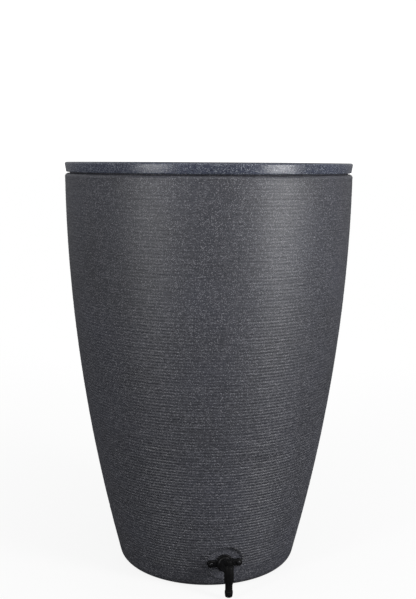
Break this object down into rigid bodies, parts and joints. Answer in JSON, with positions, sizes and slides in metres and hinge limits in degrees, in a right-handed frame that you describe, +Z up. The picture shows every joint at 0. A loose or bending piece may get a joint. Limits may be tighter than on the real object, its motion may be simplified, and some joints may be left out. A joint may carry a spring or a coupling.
{
  "type": "rain barrel",
  "caption": "Urn-shaped plastic rain barrel with a lift-off planter top, a quarter-turn tap with a hose tail, a rear overflow and a screened inlet.",
  "frame": {"origin": "on the barrel's own vertical axis, at the flat underside of its base", "axes": "+Z up along the barrel's axis; -Y is the front, with the tap 10.7 degrees round from it towards +X; +Y is the rear, with the overflow"},
  "size_m": [0.61, 0.644, 0.874],
  "materials": {
    "stone_grey_polyethylene": "rotationally moulded polyethylene, charcoal grey with fine pale and dark specks",
    "planter_polyethylene": "the same speckled polyethylene, smoother and a little bluer on the band",
    "black_plastic": "injection-moulded black plastic, satin",
    "white_plastic": "natural acetal",
    "seal_rubber": "soft black EPDM",
    "stainless_steel": "plain stainless screw heads",
    "dark_steel": "dark plated steel screws with cross recesses",
    "stainless_mesh": "woven stainless wire"
  },
  "bodies": {
    "barrel": {"barrel_shell": "stone_grey_polyethylene", "tap_body": "black_plastic", "tap_gasket": "seal_rubber", "tap_inner_gasket": "seal_rubber", "tap_locknut": "black_plastic", "tap_ear_screws": "dark_steel", "tap_bonnet": "black_plastic", "overflow_body": "black_plastic", "overflow_gasket": "seal_rubber", "overflow_inner_gasket": "seal_rubber", "overflow_locknut": "black_plastic"},
    "tap_key": {"tap_plug": "white_plastic", "tap_plug_seals": "seal_rubber", "tap_knob": "black_plastic", "tap_knob_screw": "dark_steel"},
    "planter": {"planter_tray": "planter_polyethylene"},
    "inlet_screen": {"screen_frame": "black_plastic", "screen_mesh": "stainless_mesh", "screen_clamp_ring": "black_plastic", "screen_screws": "stainless_steel"}
  },
  "joints": [
    {"name": "tap_turn", "type": "hinge", "parent": "barrel", "child": "tap_key", "pos_m": [0.04572, -0.24195, 0.06], "axis": [0, 0, 1], "range_deg": [0, 90]},
    {"name": "planter_lift", "type": "slide", "parent": "barrel", "child": "planter", "axis": [0, 0, 1], "range_m": [0, 0.16]},
    {"name": "screen_lift", "type": "slide", "parent": "planter", "child": "inlet_screen", "axis": [0, 0, 1], "range_m": [0, 0.05]}
  ]
}
